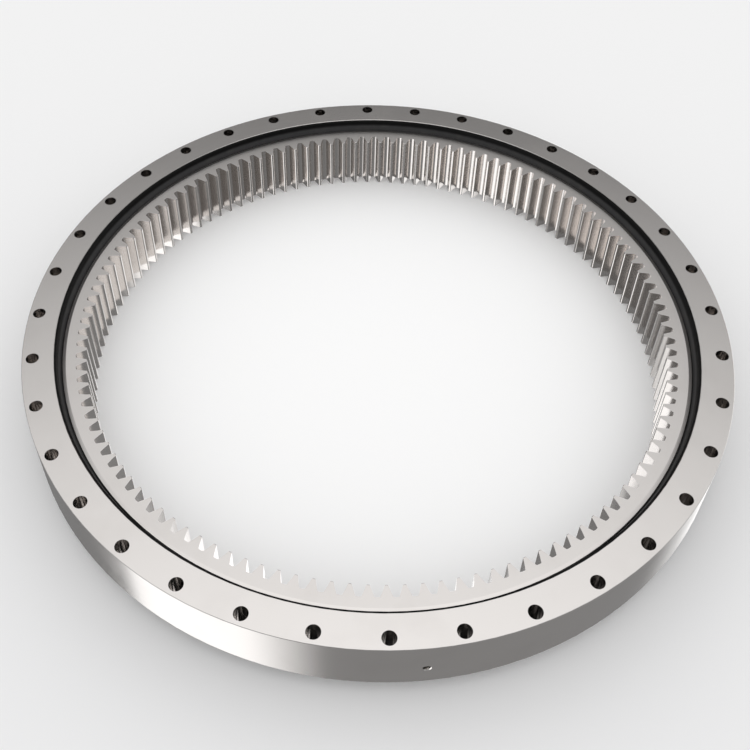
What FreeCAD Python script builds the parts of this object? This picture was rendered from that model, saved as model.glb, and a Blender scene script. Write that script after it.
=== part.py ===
import FreeCAD, Part
import math
import os
import Sketcher

# Single-row four-point ball slewing ring with an internal gear, in millimetres.
# The gear ring stands on z = 0 and its axis is Z. The outer ring, and the train of
# balls and spacers, turn about that axis.

doc = FreeCAD.newDocument("slewing_ring")
sheet = doc.addObject("Spreadsheet::Sheet", "Sizes")

sizes = [
    # gear ring
    ("gear_module", 10),
    ("tooth_count", 122),
    ("pressure_angle", 20),
    ("addendum_factor", 1),
    ("dedendum_factor", 1.25),
    ("tooth_thinning", 3.3),
    ("root_rounding", 0.08),
    ("tip_bevel", 1),
    ("gear_rim", 27.5),
    ("gear_height", 133),
    ("tooth_edge_chamfer", 1),
    ("foot_chamfer", 2),
    ("seal_edge_chamfer", 1.5),
    ("tap_inset", 14),
    ("tapped_count", 36),
    ("tap_drill", 14),
    ("tap_depth", 40),
    ("drill_point_angle", 118),
    # outer ring
    ("seal_gap", 12),
    ("outer_wall", 63),
    ("outer_height", 120),
    ("foot_height", 37),
    ("bore_chamfer", 1),
    ("edge_chamfer", 0.8),
    ("bolt_inset", 21),
    ("bolt_count", 36),
    ("bolt_hole", 26),
    # balls, spacers and raceways
    ("ball_diameter", 40),
    ("race_clearance", 0.3),
    ("land_gap", 4),
    ("land_margin", 4.7),
    ("sector_count", 8),
    ("least_ball_gap", 6.5),
    ("spacer_diameter", 28),
    ("spacer_clearance", 0.3),
    # seals
    ("seal_cover", 2),
    ("seal_groove_depth", 6),
    ("seal_groove_height", 6),
    ("groove_overcut", 1),
    ("seal_fit", 0.2),
    ("seal_bead", 4),
    ("lip_root", 4),
    ("lip_thickness", 1.5),
    ("lip_land", 6),
    ("lip_clearance", 0.3),
    ("upper_seal_inset", 3),
    ("upper_lip_drop", 12),
    ("lower_seal_inset", 4),
    ("lower_lip_gap", 2),
    # loading plug and its pin
    ("plug_margin", 0.7),
    ("plug_angle", 105),
    ("plug_recess", 1),
    ("plug_chamfer", 1),
    ("plug_fit", 0.05),
    ("pin_diameter", 10),
    ("pin_inset", 17),
    ("pin_recess", 1),
    ("pin_past_plug", 5),
    ("pin_chamfer", 1),
    # grease ports and nipples
    ("port_angle", -85),
    ("port_bore", 13.5),
    ("port_depth", 17),
    ("port_chamfer", 1.5),
    ("grease_passage", 6),
    ("nipple_thread", 10),
    ("nipple_thread_length", 9),
    ("thread_run_out", 2),
    ("nipple_hexagon", 11),
    ("nipple_hexagon_height", 4),
    ("nipple_neck", 5),
    ("nipple_neck_length", 4.5),
    ("nipple_head", 6.5),
    ("nipple_head_length", 4.5),
    ("nipple_head_taper", 1.5),
]
for row, (alias, value) in enumerate(sizes, start=1):
    sheet.set(f"A{row}", alias)
    sheet.set(f"B{row}", str(value))
    sheet.setAlias(f"B{row}", alias)
doc.recompute()


def size(alias):
    return float(getattr(sheet, alias))


def value(expression):
    return float(sheet.evalExpression(expression))


nipple_places = ["front", "right", "rear", "left"]
port_count = str(len(nipple_places))

# Lengths that several pieces share, each written once from the sheet.
tip_radius = "(Sizes.gear_module * (Sizes.tooth_count / 2 - Sizes.addendum_factor))"
root_radius = "(Sizes.gear_module * (Sizes.tooth_count / 2 + Sizes.dedendum_factor))"
gear_radius = f"({root_radius} + Sizes.gear_rim)"
bore_radius = f"({gear_radius} + Sizes.seal_gap)"
outer_radius = f"({bore_radius} + Sizes.outer_wall)"
outer_bottom = "Sizes.foot_height"
outer_top = "(Sizes.foot_height + Sizes.outer_height)"
track_radius = f"({gear_radius} + Sizes.seal_gap / 2)"
ball_plane = "((Sizes.foot_height + Sizes.gear_height) / 2)"
ball_radius = "(Sizes.ball_diameter / 2)"
race_radius = f"({ball_radius} + Sizes.race_clearance)"
gear_land = f"({track_radius} - Sizes.land_gap / 2)"
outer_land = f"({track_radius} + Sizes.land_gap / 2)"
land_bottom = f"({ball_plane} - {race_radius} - Sizes.land_margin)"
land_top = f"({ball_plane} + {race_radius} + Sizes.land_margin)"
ball_room = f"(Sizes.sector_count * (Sizes.ball_diameter + Sizes.least_ball_gap))"
balls_per_sector = f"floor(2 * pi * {track_radius} / {ball_room})"
ball_pitch = f"(360 / Sizes.sector_count / {balls_per_sector})"
plug_radius = f"({race_radius} + Sizes.plug_margin)"
pin_radius = "(Sizes.pin_diameter / 2)"
pin_circle = f"({outer_radius} - Sizes.pin_inset)"
pin_top = f"({ball_plane} + {plug_radius} + Sizes.pin_past_plug)"
port_floor = f"({outer_radius} - Sizes.port_depth)"


def origin_part(body, role):
    return next(part for part in body.Origin.OriginFeatures if part.Role == role)


def new_body(label):
    body = doc.addObject("PartDesign::Body", label)
    body.Label = label
    return body


def set_out(feature, body, turn="0", along="0", up="0", shift="0"):
    # Puts a sketch or primitive on the upright plane through Z that is turned by turn:
    # its own X axis points outward, its Y axis up, and its Z axis runs round the ring.
    feature.AttachmentSupport = (origin_part(body, "XZ_Plane"), "")
    feature.MapMode = "FlatFace"
    turning = f"placement(vector(0; 0; 0); rotation(vector(0; 1; 0); {turn}))"
    moving = f"placement(vector({along}; {up}; {shift}); rotation(vector(0; 1; 0); 0))"
    feature.setExpression("AttachmentOffset", f"{turning} * {moving}")


def outline(body, name, points, **place):
    # A closed outline through points, each a pair of expressions.
    sketch = body.newObject("Sketcher::SketchObject", name)
    set_out(sketch, body, **place)
    corner = 2 * math.pi / len(points)
    draft = [
        FreeCAD.Vector(2 + math.cos(i * corner), 2 + math.sin(i * corner), 0)
        for i in range(len(points))
    ]
    for i in range(len(points)):
        sketch.addGeometry(Part.LineSegment(draft[i], draft[(i + 1) % len(points)]))
    for i in range(len(points)):
        sketch.addConstraint(Sketcher.Constraint("Coincident", i, 2, (i + 1) % len(points), 1))
    for i, (across, upward) in enumerate(points):
        bind(sketch, Sketcher.Constraint("DistanceX", i, 1, draft[i].x), across)
        bind(sketch, Sketcher.Constraint("DistanceY", i, 1, draft[i].y), upward)
    return sketch


def bind(sketch, constraint, expression):
    index = sketch.addConstraint(constraint)
    sketch.setExpression(f"Constraints[{index}]", expression)


def turned(body, kind, name, sketch, axis="V_Axis"):
    # Revolution or Groove of a sketch round one of its own axes.
    feature = body.newObject(f"PartDesign::{kind}", name)
    feature.Profile = sketch
    feature.ReferenceAxis = (sketch, [axis])
    feature.Angle = 360
    body.Tip = feature
    return feature


def repeated(body, name, features, count, spread="360"):
    # Polar copies about Z. A spread under 360 is the angle from first copy to last.
    pattern = body.newObject("PartDesign::PolarPattern", name)
    pattern.Originals = features
    pattern.Axis = (origin_part(body, "Z_Axis"), [""])
    pattern.setExpression("Angle", spread)
    pattern.setExpression("Occurrences", count)
    body.Tip = pattern
    return pattern


def raceway(body):
    # The groove that the balls run in, a ring a clearance larger than a ball.
    sketch = body.newObject("Sketcher::SketchObject", "raceway_section")
    set_out(sketch, body)
    sketch.addGeometry(Part.Circle(FreeCAD.Vector(2, 2, 0), FreeCAD.Vector(0, 0, 1), 1))
    bind(sketch, Sketcher.Constraint("Radius", 0, 1), race_radius)
    bind(sketch, Sketcher.Constraint("DistanceX", 0, 3, 2), track_radius)
    bind(sketch, Sketcher.Constraint("DistanceY", 0, 3, 2), ball_plane)
    return turned(body, "Groove", "raceway", sketch)


def seal_levels(face, side):
    # Heights measured from a seal's face into the bearing: down for side 1, up for -1.
    return lambda depth: f"({face} - ({side}) * ({depth}))"


upper_level = seal_levels(f"({outer_top} - Sizes.upper_seal_inset)", 1)
lower_level = seal_levels(f"({outer_bottom} + Sizes.lower_seal_inset)", -1)
upper_lip_end = "(Sizes.gear_height - Sizes.upper_lip_drop)"
lower_lip_end = f"({land_bottom} - Sizes.lower_lip_gap)"
groove_end = "(Sizes.seal_cover + Sizes.seal_groove_height)"


def seal_groove(body, name, level):
    inner = f"{bore_radius} - Sizes.groove_overcut"
    outer = f"{bore_radius} + Sizes.seal_groove_depth"
    near = level("Sizes.seal_cover - Sizes.seal_fit")
    far = level(f"{groove_end} + Sizes.seal_fit")
    corners = [(inner, near), (outer, near), (outer, far), (inner, far)]
    return turned(body, "Groove", name, outline(body, f"{name}_section", corners))


def seal(label, level, lip_end, side):
    # Rubber ring: an anchor in the bore's groove, and a lip that leans in from it and
    # ends in a short land along the gear ring.
    body = new_body(label)
    anchor = f"{bore_radius} + Sizes.seal_groove_depth - Sizes.seal_fit"
    lip = f"{gear_radius} + Sizes.lip_clearance"
    section = outline(body, "seal_section", [
        (bore_radius, level("0")),
        (bore_radius, level("Sizes.seal_cover")),
        (anchor, level("Sizes.seal_cover")),
        (anchor, level(groove_end)),
        (bore_radius, level(groove_end)),
        (bore_radius, level(f"{groove_end} + Sizes.lip_root")),
        (f"{lip} + Sizes.lip_thickness", lip_end),
        (lip, lip_end),
        (lip, f"{lip_end} + ({side}) * Sizes.lip_land"),
        (f"{bore_radius} - Sizes.seal_bead", level("0")),
    ])
    turned(body, "Revolution", "seal", section)
    return body


def pin_hole(body):
    # From the ring's lower face up through the plug.
    section = outline(body, "pin_hole_section", [
        ("0", outer_bottom),
        (f"{pin_radius} + Sizes.plug_fit", outer_bottom),
        (f"{pin_radius} + Sizes.plug_fit", pin_top),
        ("0", pin_top),
    ], turn="Sizes.plug_angle", along=pin_circle)
    return turned(body, "Groove", "pin_hole", section)


# Outer ring: plain outside, with the raceway and two seal grooves in its bore.
outer_ring = new_body("outer_ring")
section = outline(outer_ring, "ring_section", [
    (f"{bore_radius} + Sizes.bore_chamfer", outer_bottom),
    (f"{outer_radius} - Sizes.edge_chamfer", outer_bottom),
    (outer_radius, f"{outer_bottom} + Sizes.edge_chamfer"),
    (outer_radius, f"{outer_top} - Sizes.edge_chamfer"),
    (f"{outer_radius} - Sizes.edge_chamfer", outer_top),
    (f"{bore_radius} + Sizes.bore_chamfer", outer_top),
    (bore_radius, f"{outer_top} - Sizes.bore_chamfer"),
    (bore_radius, land_top),
    (outer_land, land_top),
    (outer_land, land_bottom),
    (bore_radius, land_bottom),
    (bore_radius, f"{outer_bottom} + Sizes.bore_chamfer"),
])
turned(outer_ring, "Revolution", "ring", section)
raceway(outer_ring)
seal_groove(outer_ring, "upper_seal_groove", upper_level)
seal_groove(outer_ring, "lower_seal_groove", lower_level)

section = outline(outer_ring, "bolt_hole_section", [
    ("0", outer_bottom),
    ("Sizes.bolt_hole / 2", outer_bottom),
    ("Sizes.bolt_hole / 2", outer_top),
    ("0", outer_top),
], along=f"{outer_radius} - Sizes.bolt_inset")
bolt_hole = turned(outer_ring, "Groove", "bolt_hole", section)
repeated(outer_ring, "bolt_holes", [bolt_hole], "Sizes.bolt_count")

# Loading hole: a little wider than a ball, from the outside into the raceway.
section = outline(outer_ring, "loading_hole_section", [
    (track_radius, "0"),
    (outer_radius, "0"),
    (outer_radius, plug_radius),
    (track_radius, plug_radius),
], turn="Sizes.plug_angle", up=ball_plane)
turned(outer_ring, "Groove", "loading_hole", section, "H_Axis")
pin_hole(outer_ring)

# Grease ports: a counterbore for the nipple, its thread, and a passage to the raceway.
thread_end = f"({port_floor} - Sizes.nipple_thread_length - Sizes.thread_run_out)"
section = outline(outer_ring, "grease_port_section", [
    (track_radius, "0"),
    (outer_radius, "0"),
    (outer_radius, "Sizes.port_bore / 2 + Sizes.port_chamfer"),
    (f"{outer_radius} - Sizes.port_chamfer", "Sizes.port_bore / 2"),
    (port_floor, "Sizes.port_bore / 2"),
    (port_floor, "Sizes.nipple_thread / 2"),
    (thread_end, "Sizes.nipple_thread / 2"),
    (thread_end, "Sizes.grease_passage / 2"),
    (track_radius, "Sizes.grease_passage / 2"),
], turn="Sizes.port_angle", up=ball_plane)
grease_port = turned(outer_ring, "Groove", "grease_port", section, "H_Axis")
repeated(outer_ring, "grease_ports", [grease_port], port_count)

# Gear ring blank: tip cylinder inside, raceway and seal faces outside, tapped from below.
gear_blank = new_body("gear_blank")
section = outline(gear_blank, "gear_ring_section", [
    (f"{tip_radius} + Sizes.tooth_edge_chamfer", "0"),
    (f"{gear_radius} - Sizes.foot_chamfer", "0"),
    (gear_radius, "Sizes.foot_chamfer"),
    (gear_radius, land_bottom),
    (gear_land, land_bottom),
    (gear_land, land_top),
    (gear_radius, land_top),
    (gear_radius, "Sizes.gear_height - Sizes.seal_edge_chamfer"),
    (f"{gear_radius} - Sizes.seal_edge_chamfer", "Sizes.gear_height"),
    (f"{tip_radius} + Sizes.tooth_edge_chamfer", "Sizes.gear_height"),
    (tip_radius, "Sizes.gear_height - Sizes.tooth_edge_chamfer"),
    (tip_radius, "Sizes.tooth_edge_chamfer"),
])
turned(gear_blank, "Revolution", "gear_ring", section)
raceway(gear_blank)

section = outline(gear_blank, "tapped_hole_section", [
    ("0", "0"),
    ("Sizes.tap_drill / 2", "0"),
    ("Sizes.tap_drill / 2", "Sizes.tap_depth"),
    ("0", "Sizes.tap_depth + Sizes.tap_drill / 2 / tan(Sizes.drill_point_angle / 2)"),
], along=f"{gear_radius} - Sizes.tap_inset")
tapped_hole = turned(gear_blank, "Groove", "tapped_hole", section)
repeated(gear_blank, "tapped_holes", [tapped_hole], "Sizes.tapped_count")
doc.recompute()


def involute_roll(angle):
    return math.tan(angle) - angle


def tooth_spaces():
    # The gap between two internal teeth has the section of an external gear's tooth:
    # involute flanks, a rounded root, and a bevel where it opens at the tips. The teeth
    # are thinned a little, which widens every gap by the same amount.
    module = size("gear_module")
    teeth = size("tooth_count")
    pressure = math.radians(size("pressure_angle"))
    pitch = module * teeth / 2
    tip = value(tip_radius)
    root = value(root_radius)
    base = pitch * math.cos(pressure)
    bevel = size("tip_bevel")
    pitch_half = (math.pi * module / 2 + size("tooth_thinning")) / (2 * pitch)

    def flank(radius, side):
        half = pitch_half + involute_roll(pressure) - involute_roll(math.acos(base / radius))
        return FreeCAD.Vector(radius * math.cos(half), side * radius * math.sin(half), 0)

    start = tip + bevel
    end = root - size("root_rounding") * module
    flank_steps = 6
    flanks = []
    mouth = []
    for side in (1, -1):
        curve = Part.BSplineCurve()
        radii = [start + (end - start) * step / flank_steps for step in range(flank_steps + 1)]
        curve.interpolate([flank(radius, side) for radius in radii])
        flanks.append(curve.toShape())
        opening = flank(tip, side) + FreeCAD.Vector(0, side * bevel, 0)
        outside = FreeCAD.Vector(tip - module, opening.y, 0)
        mouth.append(outside)
        flanks.append(Part.makeLine(outside, opening))
        flanks.append(Part.makeLine(opening, flank(start, side)))
    flanks.append(Part.makeLine(mouth[0], mouth[1]))
    flanks.append(Part.Arc(flank(end, 1), FreeCAD.Vector(root, 0, 0), flank(end, -1)).toShape())
    section = Part.Face(Part.Wire(Part.__sortEdges__(flanks)))
    space = section.extrude(FreeCAD.Vector(0, 0, size("gear_height")))
    copies = []
    for tooth in range(int(teeth)):
        copy = space.copy()
        copy.rotate(FreeCAD.Vector(0, 0, 0), FreeCAD.Vector(0, 0, 1), 360 * tooth / teeth)
        copies.append(copy)
    return Part.Compound(copies)


gaps = doc.addObject("Part::Feature", "tooth_spaces")
gaps.Shape = tooth_spaces()
gaps.Placement = FreeCAD.Placement()
gear_ring = doc.addObject("Part::Cut", "inner_gear_ring")
gear_ring.Label = "inner_gear_ring"
gear_ring.Base = gear_blank
gear_ring.Tool = gaps

# Seals, both held in the outer ring.
upper_seal = seal("upper_seal", upper_level, upper_lip_end, 1)
lower_seal = seal("lower_seal", lower_level, lower_lip_end, -1)

# Loading plug: fills the loading hole and carries the raceway across it.
loading_plug = new_body("loading_plug")
plug_face = f"({outer_radius} - Sizes.plug_recess)"
plug_side = f"({plug_radius} - Sizes.plug_fit)"
section = outline(loading_plug, "plug_section", [
    (outer_land, "0"),
    (plug_face, "0"),
    (plug_face, f"{plug_side} - Sizes.plug_chamfer"),
    (f"{plug_face} - Sizes.plug_chamfer", plug_side),
    (outer_land, plug_side),
], turn="Sizes.plug_angle", up=ball_plane)
turned(loading_plug, "Revolution", "plug", section, "H_Axis")
raceway(loading_plug)
pin_hole(loading_plug)

# Pin: driven in from the lower face so that the plug can't turn or come out.
plug_pin = new_body("plug_pin")
pin_foot = f"({outer_bottom} + Sizes.pin_recess)"
section = outline(plug_pin, "pin_section", [
    ("0", pin_foot),
    (f"{pin_radius} - Sizes.pin_chamfer", pin_foot),
    (pin_radius, f"{pin_foot} + Sizes.pin_chamfer"),
    (pin_radius, f"{pin_top} - Sizes.pin_chamfer"),
    (f"{pin_radius} - Sizes.pin_chamfer", pin_top),
    ("0", pin_top),
], turn="Sizes.plug_angle", along=pin_circle)
turned(plug_pin, "Revolution", "pin", section)

# Grease nipples, one sunk in each port: thread, hexagon, neck and head.
nipples = []
hexagon_top = f"({port_floor} + Sizes.nipple_hexagon_height)"
neck_top = f"({hexagon_top} + Sizes.nipple_neck_length)"
head_top = f"({neck_top} + Sizes.nipple_head_length)"
thread_radius = "(Sizes.nipple_thread / 2 - Sizes.plug_fit)"
for port, place in enumerate(nipple_places):
    nipple = new_body(f"grease_nipple_{place}")
    angle = f"(Sizes.port_angle + {port} * 360 / {port_count})"
    section = outline(nipple, "nipple_section", [
        (f"{port_floor} - Sizes.nipple_thread_length", "0"),
        (head_top, "0"),
        (head_top, "Sizes.nipple_head / 2 - Sizes.nipple_head_taper"),
        (f"{head_top} - Sizes.nipple_head_taper", "Sizes.nipple_head / 2"),
        (f"{neck_top} + Sizes.nipple_head_taper", "Sizes.nipple_head / 2"),
        (neck_top, "Sizes.nipple_neck / 2"),
        (port_floor, "Sizes.nipple_neck / 2"),
        (port_floor, thread_radius),
        (f"{port_floor} - Sizes.nipple_thread_length", thread_radius),
    ], turn=angle, up=ball_plane)
    turned(nipple, "Revolution", "nipple", section, "H_Axis")
    hexagon = nipple.newObject("PartDesign::AdditivePrism", "hexagon")
    hexagon.Polygon = 6
    hexagon.setExpression("Circumradius", "Sizes.nipple_hexagon / 2 / cos(30)")
    hexagon.setExpression("Height", "Sizes.nipple_hexagon_height")
    set_out(hexagon, nipple, turn=f"{angle} + 90", up=ball_plane, shift=port_floor)
    nipple.Tip = hexagon
    nipples.append(nipple)

# Balls, and the plastic spacers between them, in sectors round the track.
balls = []
spacers = []
sector_spread = f"({balls_per_sector} - 1) * {ball_pitch}"
for sector in range(int(size("sector_count"))):
    group = new_body(f"balls_{sector + 1}")
    group.AllowCompound = True
    sector_start = f"({sector} * 360 / Sizes.sector_count)"
    ball = group.newObject("PartDesign::AdditiveSphere", "ball")
    ball.setExpression("Radius", ball_radius)
    set_out(ball, group, turn=sector_start, along=track_radius, up=ball_plane)
    repeated(group, "ball_row", [ball], balls_per_sector, sector_spread)
    balls.append(group)


def spacer_row(sector):
    # A spacer is a short cylinder along the track, hollowed at both ends to seat the
    # balls. There is one after each of the sector's balls.
    per_sector = int(value(balls_per_sector))
    pitch = value(ball_pitch)
    half_chord = value(f"{track_radius} * sin({ball_pitch} / 2)")
    middle = FreeCAD.Vector(value(f"{track_radius} * cos({ball_pitch} / 2)"), 0, value(ball_plane))
    radius = size("spacer_diameter") / 2
    seat = value(f"{ball_radius} + Sizes.spacer_clearance")
    seat_rim = math.sqrt(seat ** 2 - radius ** 2)
    half_length = half_chord - seat_rim - 2 * size("spacer_clearance")
    along = FreeCAD.Vector(0, 1, 0)
    spacer = Part.makeCylinder(radius, 2 * half_length, middle - along * half_length, along)
    for side in (-1, 1):
        spacer = spacer.cut(Part.makeSphere(seat, middle + along * half_chord * side))
    copies = []
    for place in range(per_sector):
        copy = spacer.copy()
        turn = pitch * (sector * per_sector + place + 0.5)
        copy.rotate(FreeCAD.Vector(0, 0, 0), FreeCAD.Vector(0, 0, 1), turn)
        copies.append(copy)
    return Part.Compound(copies)


for sector in range(int(size("sector_count"))):
    row_of_spacers = doc.addObject("Part::Feature", f"spacers_{sector + 1}")
    row_of_spacers.Label = f"spacers_{sector + 1}"
    row_of_spacers.Shape = spacer_row(sector)
    row_of_spacers.Placement = FreeCAD.Placement()
    spacers.append(row_of_spacers)

doc.recompute()

pieces = [gear_ring, outer_ring, upper_seal, lower_seal, loading_plug, plug_pin]
pieces += nipples + balls + spacers
for thing in doc.Objects:
    for fault in ("Invalid", "Error"):
        if fault in thing.State:
            raise RuntimeError(f"{thing.Name} is {fault}")
for piece in pieces:
    if piece.Shape.isNull() or not piece.Shape.isValid():
        raise RuntimeError(f"{piece.Label} has no valid shape")
os.makedirs("parts", exist_ok=True)
for piece in pieces:
    piece.Shape.exportStep(f"parts/{piece.Label}.step")
    print(f"{piece.Label:22s} {len(piece.Shape.Solids):3d} solids {piece.Shape.Volume / 1000:12.1f} cm3")
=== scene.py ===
import math
import bpy
import numpy as np
from mathutils import Matrix, Vector


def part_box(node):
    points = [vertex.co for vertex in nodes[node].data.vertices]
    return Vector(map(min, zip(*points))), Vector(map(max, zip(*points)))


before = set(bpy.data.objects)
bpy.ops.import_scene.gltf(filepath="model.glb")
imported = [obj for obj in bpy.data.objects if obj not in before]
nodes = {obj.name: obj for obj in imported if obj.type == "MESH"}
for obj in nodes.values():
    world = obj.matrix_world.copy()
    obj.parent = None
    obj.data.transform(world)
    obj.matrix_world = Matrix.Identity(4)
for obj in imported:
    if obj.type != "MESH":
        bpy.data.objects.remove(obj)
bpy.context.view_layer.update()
scene = bpy.context.scene
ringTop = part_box("outer_ring")[1].z
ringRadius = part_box("outer_ring")[1].x


# Node helpers shared by all the materials.

def newMaterial(name):
    # A Principled surface, ready to be fed.
    material = bpy.data.materials.new(name)
    material.use_nodes = True
    tree = material.node_tree
    tree.nodes.clear()
    output = tree.nodes.new("ShaderNodeOutputMaterial")
    shader = tree.nodes.new("ShaderNodeBsdfPrincipled")
    tree.links.new(shader.outputs["BSDF"], output.inputs["Surface"])
    return material, tree, shader


def newGroup(name, inputs, outputs):
    # inputs are (name, kind, default); outputs are (name, kind)
    tree = bpy.data.node_groups.new(name, "ShaderNodeTree")
    for socketName, kind, default in inputs:
        socket = tree.interface.new_socket(socketName, in_out="INPUT", socket_type=kind)
        socket.default_value = default
    for socketName, kind in outputs:
        tree.interface.new_socket(socketName, in_out="OUTPUT", socket_type=kind)
    return tree, tree.nodes.new("NodeGroupInput"), tree.nodes.new("NodeGroupOutput")


def mathNode(tree, operation, first, second=None):
    node = tree.nodes.new("ShaderNodeMath")
    node.operation = operation
    for socket, value in zip(node.inputs, (first, second)):
        if isinstance(value, bpy.types.NodeSocket):
            tree.links.new(value, socket)
        elif value is not None:
            socket.default_value = value
    return node.outputs[0]


def mapRange(tree, value, low, high, toLow=0.0, toHigh=1.0, smooth=False):
    node = tree.nodes.new("ShaderNodeMapRange")
    node.interpolation_type = "SMOOTHSTEP" if smooth else "LINEAR"
    tree.links.new(value, node.inputs["Value"])
    for name, number in (("From Min", low), ("From Max", high), ("To Min", toLow), ("To Max", toHigh)):
        node.inputs[name].default_value = number
    return node.outputs["Result"]


def noise(tree, vector, scale, detail=3.0, roughness=0.5):
    node = tree.nodes.new("ShaderNodeTexNoise")
    tree.links.new(vector, node.inputs["Vector"])
    node.inputs["Scale"].default_value = scale
    node.inputs["Detail"].default_value = detail
    node.inputs["Roughness"].default_value = roughness
    return node.outputs["Fac"]


def mixColour(tree, factor, first, second):
    # factor is a socket; first and second are sockets or colours without alpha
    node = tree.nodes.new("ShaderNodeMix")
    node.data_type = "RGBA"
    for socket, value in ((node.inputs[0], factor), (node.inputs[6], first), (node.inputs[7], second)):
        if isinstance(value, tuple):
            socket.default_value = (*value, 1)
        else:
            tree.links.new(value, socket)
    return node.outputs[2]


def useGroup(tree, group, **values):
    node = tree.nodes.new("ShaderNodeGroup")
    node.node_tree = group
    for name, value in values.items():
        socket = node.inputs[name]
        if isinstance(value, bpy.types.NodeSocket):
            tree.links.new(value, socket)
        else:
            socket.default_value = value
    return node


# Shader groups used by several finishes.

def ringCoordinates():
    # Turns a place into (distance from the axis, way round, height), in metres, so that
    # a pattern can follow the lathe's cut round the ring.
    tree, _, leave = newGroup("ringCoordinates", [], [("Vector", "NodeSocketVector")])
    place = tree.nodes.new("ShaderNodeTexCoord")
    split = tree.nodes.new("ShaderNodeSeparateXYZ")
    tree.links.new(place.outputs["Object"], split.inputs[0])
    x, y, z = split.outputs
    radius = mathNode(tree, "SQRT", mathNode(tree, "ADD", mathNode(tree, "MULTIPLY", x, x),
                                             mathNode(tree, "MULTIPLY", y, y)))
    angle = mathNode(tree, "ARCTAN2", y, x)
    join = tree.nodes.new("ShaderNodeCombineXYZ")
    tree.links.new(radius, join.inputs[0])
    tree.links.new(mathNode(tree, "MULTIPLY", angle, ringRadius), join.inputs[1])
    tree.links.new(z, join.inputs[2])
    tree.links.new(join.outputs[0], leave.inputs["Vector"])
    return tree


grainLook = {"scale": 1.0, "detail": 4.0, "roughness": 0.6}


def stretchedGrain(look):
    # Fine parallel marks: noise drawn out by Stretch, about 0.5 in the middle.
    tree, enter, leave = newGroup(
        "stretchedGrain",
        [("Vector", "NodeSocketVector", (0, 0, 0)), ("Stretch", "NodeSocketVector", (1, 1, 1))],
        [("Height", "NodeSocketFloat")])
    scaled = tree.nodes.new("ShaderNodeVectorMath")
    scaled.operation = "MULTIPLY"
    tree.links.new(enter.outputs["Vector"], scaled.inputs[0])
    tree.links.new(enter.outputs["Stretch"], scaled.inputs[1])
    marks = noise(tree, scaled.outputs[0], look["scale"], look["detail"], look["roughness"])
    tree.links.new(marks, leave.inputs["Height"])
    return tree


# openFace and fullEdge are how squarely the rounded normal meets the real one.
edgeLook = {"samples": 4, "width": 0.002, "openFace": 0.995, "fullEdge": 0.9,
            "breakScale": 120.0, "breakFrom": 0.35, "breakTo": 0.6}


def edgeMask(look):
    # 1 on convex and concave edges and 0 on open faces, broken up by noise.
    tree, enter, leave = newGroup(
        "edgeMask", [("Width", "NodeSocketFloat", look["width"])], [("Mask", "NodeSocketFloat")])
    bevel = tree.nodes.new("ShaderNodeBevel")
    bevel.samples = look["samples"]
    tree.links.new(enter.outputs["Width"], bevel.inputs["Radius"])
    geometry = tree.nodes.new("ShaderNodeNewGeometry")
    dot = tree.nodes.new("ShaderNodeVectorMath")
    dot.operation = "DOT_PRODUCT"
    tree.links.new(bevel.outputs["Normal"], dot.inputs[0])
    tree.links.new(geometry.outputs["Normal"], dot.inputs[1])
    turned = mapRange(tree, dot.outputs["Value"], look["openFace"], look["fullEdge"])
    place = tree.nodes.new("ShaderNodeTexCoord").outputs["Object"]
    broken = mapRange(tree, noise(tree, place, look["breakScale"]), look["breakFrom"], look["breakTo"])
    tree.links.new(mathNode(tree, "MULTIPLY", turned, broken), leave.inputs["Mask"])
    return tree


rimLook = {"levelFrom": 0.95, "levelTo": 0.99}  # upward parts of the normals that count as level


def turnedRim(look):
    # Mask is 1 on faces that look straight up. On those, Normal comes to lean outward by
    # Slope between the radii From and To: the soft rim that a lathe tool leaves on a ring.
    tree, enter, leave = newGroup(
        "turnedRim",
        [("Normal", "NodeSocketVector", (0, 0, 1)), ("From", "NodeSocketFloat", 0.0),
         ("To", "NodeSocketFloat", 0.001), ("Slope", "NodeSocketFloat", 0.0)],
        [("Mask", "NodeSocketFloat"), ("Normal", "NodeSocketVector")])
    place = tree.nodes.new("ShaderNodeTexCoord")
    level = tree.nodes.new("ShaderNodeVectorMath")
    level.operation = "MULTIPLY"
    level.inputs[1].default_value = (1, 1, 0)
    tree.links.new(place.outputs["Object"], level.inputs[0])
    length = tree.nodes.new("ShaderNodeVectorMath")
    length.operation = "LENGTH"
    tree.links.new(level.outputs["Vector"], length.inputs[0])
    outward = tree.nodes.new("ShaderNodeVectorMath")
    outward.operation = "NORMALIZE"
    tree.links.new(level.outputs["Vector"], outward.inputs[0])
    facing = tree.nodes.new("ShaderNodeSeparateXYZ")
    tree.links.new(place.outputs["Normal"], facing.inputs[0])
    mask = mapRange(tree, facing.outputs[2], look["levelFrom"], look["levelTo"])
    past = tree.nodes.new("ShaderNodeMapRange")
    tree.links.new(length.outputs["Value"], past.inputs["Value"])
    tree.links.new(enter.outputs["From"], past.inputs["From Min"])
    tree.links.new(enter.outputs["To"], past.inputs["From Max"])
    lean = mathNode(tree, "MULTIPLY", mathNode(tree, "MULTIPLY", past.outputs["Result"], mask),
                    enter.outputs["Slope"])
    scaled = tree.nodes.new("ShaderNodeVectorMath")
    scaled.operation = "SCALE"
    tree.links.new(outward.outputs["Vector"], scaled.inputs[0])
    tree.links.new(lean, scaled.inputs["Scale"])
    added = tree.nodes.new("ShaderNodeVectorMath")
    added.operation = "ADD"
    tree.links.new(enter.outputs["Normal"], added.inputs[0])
    tree.links.new(scaled.outputs["Vector"], added.inputs[1])
    unit = tree.nodes.new("ShaderNodeVectorMath")
    unit.operation = "NORMALIZE"
    tree.links.new(added.outputs["Vector"], unit.inputs[0])
    tree.links.new(mask, leave.inputs["Mask"])
    tree.links.new(unit.outputs["Vector"], leave.inputs["Normal"])
    return tree


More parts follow.
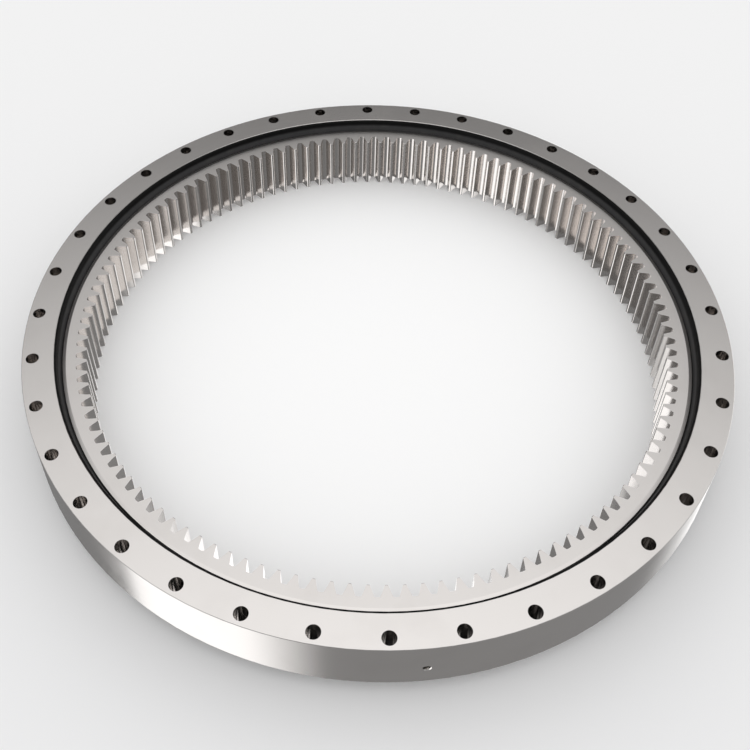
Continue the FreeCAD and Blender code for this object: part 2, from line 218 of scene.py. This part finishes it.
ringGroup = ringCoordinates()
rimGroup = turnedRim(rimLook)
grainGroup = stretchedGrain(grainLook)
edgeGroup = edgeMask(edgeLook)
print("shader groups made")


# Finishes, one per kind of surface.

# edge is the colour on edges: edge wear with a painted highlight.
steelLook = {
    "turned": {"colour": (0.80, 0.768, 0.745), "stain": (0.72, 0.685, 0.66), "edge": (0.93, 0.92, 0.91),
               "roughness": 0.17, "grain": (2600, 9, 2600), "bump": 0.00001, "edgeWidth": 0.0015},
    "gear": {"colour": (0.79, 0.757, 0.733), "stain": (0.68, 0.645, 0.615), "edge": (0.93, 0.92, 0.91),
             "roughness": 0.19, "grain": (3000, 3000, 70), "bump": 0.000004, "edgeWidth": 0.0012,
             "faceRoughness": 0.28, "rimFrom": 0.642, "rimTo": 0.6425, "rimSlope": 0.26},
    "plug": {"colour": (0.72, 0.70, 0.68), "stain": (0.58, 0.56, 0.53), "edge": (0.9, 0.89, 0.88),
             "roughness": 0.32, "grain": (2200, 2200, 40), "bump": 0.00001, "edgeWidth": 0.001},
    "pin": {"colour": (0.62, 0.61, 0.60), "stain": (0.48, 0.46, 0.44), "edge": (0.86, 0.85, 0.84),
            "roughness": 0.24, "grain": (300, 300, 3000), "bump": 0.000008, "edgeWidth": 0.0006},
    "nipple": {"colour": (0.55, 0.53, 0.50), "stain": (0.38, 0.36, 0.33), "edge": (0.85, 0.83, 0.8),
               "roughness": 0.25, "grain": (1500, 1500, 1500), "bump": 0.000006, "edgeWidth": 0.0004},
    "ball": {"colour": (0.86, 0.86, 0.87), "stain": (0.78, 0.78, 0.79), "edge": (0.86, 0.86, 0.87),
             "roughness": 0.07, "grain": (500, 500, 500), "bump": 0.000001, "edgeWidth": 0.0002},
}


wearAndHighlightLook = {"stainScale": 7.0, "stainDetail": 5.0, "stainRoughness": 0.6, "stainFrom": 0.48, "stainTo": 0.75,
            "stainShare": 0.5, "stainDulls": 0.05, "edgeWearAndHighlightShare": 0.6, "grainFrom": 0.3, "grainTo": 0.7,
            "grainDulls": 0.03, "bumpStrength": 0.35}


def steel(name, look, wearAndHighlight):
    # Bare steel: cutting marks in the gloss and relief, faint handling stains, and edges painted lighter:
    # edge wear with a painted highlight.
    material, tree, shader = newMaterial(name)
    place = useGroup(tree, ringGroup).outputs["Vector"]
    objectPlace = tree.nodes.new("ShaderNodeTexCoord").outputs["Object"]
    grain = useGroup(tree, grainGroup, Vector=place, Stretch=look["grain"]).outputs["Height"]
    patches = noise(tree, objectPlace, wearAndHighlight["stainScale"], wearAndHighlight["stainDetail"], wearAndHighlight["stainRoughness"])
    stain = mapRange(tree, patches, wearAndHighlight["stainFrom"], wearAndHighlight["stainTo"])
    edge = useGroup(tree, edgeGroup, Width=look["edgeWidth"]).outputs["Mask"]
    stained = mathNode(tree, "MULTIPLY", stain, wearAndHighlight["stainShare"])
    colour = mixColour(tree, stained, look["colour"], look["stain"])
    # Edges mixed towards the lighter edge colour: edge wear with a painted highlight.
    edgeWearAndHighlight = mathNode(tree, "MULTIPLY", edge, wearAndHighlight["edgeWearAndHighlightShare"])
    colour = mixColour(tree, edgeWearAndHighlight, colour, look["edge"])
    tree.links.new(colour, shader.inputs["Base Color"])
    cut = mapRange(tree, grain, wearAndHighlight["grainFrom"], wearAndHighlight["grainTo"],
                   look["roughness"] - wearAndHighlight["grainDulls"], look["roughness"] + wearAndHighlight["grainDulls"])
    gloss = mathNode(tree, "ADD", cut, mathNode(tree, "MULTIPLY", stain, wearAndHighlight["stainDulls"]))
    shader.inputs["Metallic"].default_value = 1.0
    bump = tree.nodes.new("ShaderNodeBump")
    bump.inputs["Strength"].default_value = wearAndHighlight["bumpStrength"]
    bump.inputs["Distance"].default_value = look["bump"]
    tree.links.new(grain, bump.inputs["Height"])
    normal = bump.outputs["Normal"]
    if "rimSlope" in look:
        rim = useGroup(tree, rimGroup, Normal=normal, From=look["rimFrom"], To=look["rimTo"],
                       Slope=look["rimSlope"])
        normal = rim.outputs["Normal"]
        level = rim.outputs["Mask"]
        elsewhere = mathNode(tree, "MULTIPLY", gloss, mathNode(tree, "SUBTRACT", 1.0, level))
        onTop = mathNode(tree, "MULTIPLY", level, look["faceRoughness"])
        gloss = mathNode(tree, "ADD", elsewhere, onTop)
    tree.links.new(gloss, shader.inputs["Roughness"])
    tree.links.new(normal, shader.inputs["Normal"])
    return material


sealLook = {"colour": (0.040, 0.040, 0.041), "dust": (0.06, 0.058, 0.055), "paintedShade": (0.002, 0.002, 0.002),
            "paintedShadeFrom": 0.6545, "paintedShadeTo": 0.656, "dustScale": 30.0, "dustDetail": 5.0, "dustRoughness": 0.65,
            "dustFrom": 0.5, "dustTo": 0.8, "roughness": 0.48, "dustDulls": 0.2, "shine": 0.15,
            "pores": 900.0, "poreDetail": 2.0, "poreStrength": 0.3, "poreDepth": 0.0001}


def rubber(name, look):
    # Moulded rubber: fine pores, a thin film of dust in patches, and painted shade, near black,
    # where it meets the outer ring.
    material, tree, shader = newMaterial(name)
    objectPlace = tree.nodes.new("ShaderNodeTexCoord").outputs["Object"]
    pores = noise(tree, objectPlace, look["pores"], look["poreDetail"])
    patches = noise(tree, objectPlace, look["dustScale"], look["dustDetail"], look["dustRoughness"])
    dust = mapRange(tree, patches, look["dustFrom"], look["dustTo"])
    split = tree.nodes.new("ShaderNodeSeparateXYZ")
    tree.links.new(useGroup(tree, ringGroup).outputs["Vector"], split.inputs[0])
    # Painted shade: near black at the seal's outer edge, in the shade of the outer ring.
    paintedShadeMask = mapRange(tree, split.outputs[0], look["paintedShadeFrom"], look["paintedShadeTo"])
    dusty = mixColour(tree, dust, look["colour"], look["dust"])
    tree.links.new(mixColour(tree, paintedShadeMask, dusty, look["paintedShade"]), shader.inputs["Base Color"])
    dull = mapRange(tree, dust, 0, 1, look["roughness"], look["roughness"] + look["dustDulls"])
    tree.links.new(dull, shader.inputs["Roughness"])
    shader.inputs["Specular IOR Level"].default_value = look["shine"]
    bump = tree.nodes.new("ShaderNodeBump")
    bump.inputs["Strength"].default_value = look["poreStrength"]
    bump.inputs["Distance"].default_value = look["poreDepth"]
    tree.links.new(pores, bump.inputs["Height"])
    tree.links.new(bump.outputs["Normal"], shader.inputs["Normal"])
    return material


spacerLook = {"colour": (0.80, 0.77, 0.68), "shade": (0.70, 0.66, 0.56), "toneScale": 60.0, "toneFrom": 0.35,
              "toneTo": 0.7, "roughness": 0.42, "shadeDulls": 0.1, "subsurface": 0.1}


def nylon(name, look):
    # Moulded off-white plastic, a little uneven in tone.
    material, tree, shader = newMaterial(name)
    objectPlace = tree.nodes.new("ShaderNodeTexCoord").outputs["Object"]
    tone = mapRange(tree, noise(tree, objectPlace, look["toneScale"]), look["toneFrom"], look["toneTo"])
    tree.links.new(mixColour(tree, tone, look["colour"], look["shade"]), shader.inputs["Base Color"])
    dull = mapRange(tree, tone, 0, 1, look["roughness"], look["roughness"] + look["shadeDulls"])
    tree.links.new(dull, shader.inputs["Roughness"])
    shader.inputs["Subsurface Weight"].default_value = look["subsurface"]
    return material


finishes = {name: steel(name + "Steel", look, wearAndHighlightLook) for name, look in steelLook.items()}
finishes["rubber"] = rubber("sealRubber", sealLook)
finishes["nylon"] = nylon("spacerNylon", spacerLook)
print("finishes made")


# Smooth shading on the turned and milled faces.

smoothing = {"weld": 0.000005, "sharpAngle": 28}


def smoothByAngle(look):
    # Joins the loose triangles, shades them smooth and keeps edges over the angle sharp.
    tree = bpy.data.node_groups.new("smoothByAngle", "GeometryNodeTree")
    tree.interface.new_socket("Geometry", in_out="INPUT", socket_type="NodeSocketGeometry")
    tree.interface.new_socket("Geometry", in_out="OUTPUT", socket_type="NodeSocketGeometry")
    enter = tree.nodes.new("NodeGroupInput")
    leave = tree.nodes.new("NodeGroupOutput")
    weld = tree.nodes.new("GeometryNodeMergeByDistance")
    weld.inputs["Distance"].default_value = look["weld"]
    faces = tree.nodes.new("GeometryNodeSetShadeSmooth")
    edges = tree.nodes.new("GeometryNodeSetShadeSmooth")
    edges.domain = "EDGE"
    edges.inputs["Shade Smooth"].default_value = False
    angle = tree.nodes.new("GeometryNodeInputMeshEdgeAngle")
    compare = tree.nodes.new("FunctionNodeCompare")
    compare.operation = "GREATER_THAN"
    compare.inputs[1].default_value = math.radians(look["sharpAngle"])
    tree.links.new(angle.outputs["Unsigned Angle"], compare.inputs[0])
    tree.links.new(enter.outputs[0], weld.inputs["Geometry"])
    tree.links.new(weld.outputs[0], faces.inputs["Geometry"])
    tree.links.new(faces.outputs[0], edges.inputs["Geometry"])
    tree.links.new(compare.outputs[0], edges.inputs["Selection"])
    tree.links.new(edges.outputs[0], leave.inputs[0])
    return tree


finishOf = {"inner_gear_ring": "gear", "outer_ring": "turned", "upper_seal": "rubber",
            "lower_seal": "rubber", "loading_plug": "plug", "plug_pin": "pin",
            "grease_nipple": "nipple", "balls": "ball", "spacers": "nylon"}
smoothTree = smoothByAngle(smoothing)
for name, node in nodes.items():
    finish = next(value for key, value in finishOf.items() if name.startswith(key))
    if node.material_slots:
        node.material_slots[0].material = finishes[finish]
    else:
        node.data.materials.append(finishes[finish])
    modifier = node.modifiers.new("smooth", "NODES")
    modifier.node_group = smoothTree
print("nodes dressed")


# Floor, light and camera.

def makeMatte(shader):
    shader.inputs["Roughness"].default_value = 1.0
    shader.inputs["Specular IOR Level"].default_value = 0.0


# The floor's white within the ring is painted light, lifting it out of the ring's shade.
floorLook = {"half": 9.0, "near": (0.86, 0.86, 0.865), "far": (0.89, 0.89, 0.89), "from": -1.3, "to": 1.6,
             "middle": (1.0, 1.0, 1.0), "middleRadius": 0.60, "middleFade": 0.80,
             "edge": (1.0, 1.0, 1.0), "edgeFrom": 2.6, "edgeTo": 6.5}


def makeFloor(look):
    # Pale paper, a little brighter towards the back, with painted light that whitens it within
    # the ring. It ends in the white of the surroundings so that no horizon line shows.
    half = look["half"]
    mesh = bpy.data.meshes.new("floor")
    corners = [(-half, -half, 0), (half, -half, 0), (half, half, 0), (-half, half, 0)]
    mesh.from_pydata(corners, [], [(0, 1, 2, 3)])
    floor = bpy.data.objects.new("floor", mesh)
    scene.collection.objects.link(floor)
    material, tree, shader = newMaterial("floorPaper")
    place = tree.nodes.new("ShaderNodeTexCoord").outputs["Object"]
    split = tree.nodes.new("ShaderNodeSeparateXYZ")
    tree.links.new(place, split.inputs[0])
    length = tree.nodes.new("ShaderNodeVectorMath")
    length.operation = "LENGTH"
    tree.links.new(place, length.inputs[0])
    fade = mapRange(tree, split.outputs[1], look["from"], look["to"], smooth=True)
    colour = mixColour(tree, fade, look["near"], look["far"])
    # Painted light: the floor is whitened within the ring.
    paintedLightMask = mapRange(tree, length.outputs["Value"], look["middleFade"], look["middleRadius"], smooth=True)
    colour = mixColour(tree, paintedLightMask, colour, look["middle"])
    edge = mapRange(tree, length.outputs["Value"], look["edgeFrom"], look["edgeTo"], smooth=True)
    tree.links.new(mixColour(tree, edge, colour, look["edge"]), shader.inputs["Base Color"])
    makeMatte(shader)
    mesh.materials.append(material)
    floor.visible_glossy = False


underLook = {"inner": 0.905, "outer": 0.996, "height": 0.0004, "segments": 96, "colour": (0.01, 0.01, 0.01)}


def makeUnderShade(look):
    # A dark ring on the floor under the bearing, which only steel mirrors: what the bolt
    # holes look down on. Two circles of points at look's shares of the outer radius.
    turn = np.linspace(0, 2 * np.pi, look["segments"], endpoint=False)
    circle = np.stack([np.cos(turn), np.sin(turn), np.zeros_like(turn)], axis=1)
    rings = [circle * ringRadius * look[side] + (0, 0, look["height"]) for side in ("inner", "outer")]
    index = np.arange(look["segments"])
    after = (index + 1) % look["segments"]
    faces = np.stack([index, index + look["segments"], after + look["segments"], after], axis=1)
    mesh = bpy.data.meshes.new("underShade")
    mesh.from_pydata(np.concatenate(rings).tolist(), [], faces.tolist())
    shade = bpy.data.objects.new("underShade", mesh)
    scene.collection.objects.link(shade)
    material, tree, shader = newMaterial("underShadeBlack")
    shader.inputs["Base Color"].default_value = (*look["colour"], 1)
    makeMatte(shader)
    mesh.materials.append(material)
    shade.visible_camera = False
    shade.visible_diffuse = False
    shade.visible_shadow = False


worldLook = {
    "ambient": 1.0,
    "upper": [(0.0, 0.55), (0.30, 0.40), (0.50, 0.17), (0.60, 0.17), (0.70, 0.51), (0.80, 0.80),
              (0.90, 1.05), (1.0, 1.10)],
    "lower": [(-180, 1.35), (-138, 1.30), (-108, 0.25), (20, 0.25), (36, 0.80), (46, 1.40), (62, 1.55),
              (98, 1.55), (106, 0.22), (172, 0.21), (175, 1.40)],
    "side": [(-180, 0.35), (-158, 0.35), (-146, 1.45), (-118, 1.35), (-104, 0.22), (-30, 0.17), (-8, 0.25),
             (10, 1.05), (45, 1.15), (60, 0.50), (75, 0.17), (150, 0.15), (170, 0.22)],
    "sideFrom": -0.765, "sideTo": -0.735,
    "upperFrom": -0.15, "upperTo": 0.15,
}


def ramp(tree, value, stops):
    node = tree.nodes.new("ShaderNodeValToRGB")
    tree.links.new(value, node.inputs["Fac"])
    elements = node.color_ramp.elements
    while len(elements) < len(stops):
        elements.new(0.5)
    for element, (position, level) in zip(elements, stops):
        element.position = position
        element.color = (level, level, level, 1)
    return node.outputs["Color"]


def makeWorld(look):
    # A plain even sky for soft light. What shiny steel mirrors is a studio of pale panels.
    # upper is (height, level): darkest at the middle heights and brightest overhead. lower
    # and side are (degrees round, level) below the horizon, with side above lower and two
    # panels in each.
    world = bpy.data.worlds.new("studio")
    scene.world = world
    world.use_nodes = True
    tree = world.node_tree
    tree.nodes.clear()
    output = tree.nodes.new("ShaderNodeOutputWorld")
    background = tree.nodes.new("ShaderNodeBackground")
    split = tree.nodes.new("ShaderNodeSeparateXYZ")
    tree.links.new(tree.nodes.new("ShaderNodeTexCoord").outputs["Generated"], split.inputs[0])
    x, y, z = split.outputs
    turn = mathNode(tree, "ARCTAN2", y, x)
    around = mapRange(tree, turn, -math.pi, math.pi)
    upper = ramp(tree, z, look["upper"])
    lower, side = (ramp(tree, around, [((way + 180) / 360, level) for way, level in look[part]])
                   for part in ("lower", "side"))
    aside = mapRange(tree, z, look["sideFrom"], look["sideTo"], smooth=True)
    above = mapRange(tree, z, look["upperFrom"], look["upperTo"], smooth=True)
    mirrored = mixColour(tree, above, mixColour(tree, aside, lower, side), upper)
    light = tree.nodes.new("ShaderNodeLightPath")
    seen = mixColour(tree, light.outputs["Is Glossy Ray"], (look["ambient"],) * 3, mirrored)
    tree.links.new(seen, background.inputs["Color"])
    tree.links.new(background.outputs[0], output.inputs["Surface"])


cameraLook = {"lens": 49.17, "pitch": 44.22, "side": -0.109, "back": 2.051, "up": 2.263, "turn": -0.311,
              "shiftRight": 0.0478, "shiftUp": -0.17, "boltRadius": 0.704}


def makeCamera(look):
    # Placed in bolt circle radii from the middle of the outer ring's top face.
    data = bpy.data.cameras.new("camera")
    camera = bpy.data.objects.new("camera", data)
    scene.collection.objects.link(camera)
    data.lens = look["lens"]
    data.shift_x = look["shiftRight"]
    data.shift_y = look["shiftUp"]
    place = Vector((look["side"], -look["back"], look["up"])) * look["boltRadius"]
    turn = math.radians(look["turn"])
    camera.location = Matrix.Rotation(turn, 3, "Z") @ place + Vector((0, 0, ringTop))
    camera.rotation_euler = (math.radians(90 - look["pitch"]), 0, turn)
    scene.camera = camera


makeFloor(floorLook)
makeUnderShade(underLook)
makeWorld(worldLook)
makeCamera(cameraLook)
scene.view_settings.view_transform = "Standard"
print("floor, light and camera made")
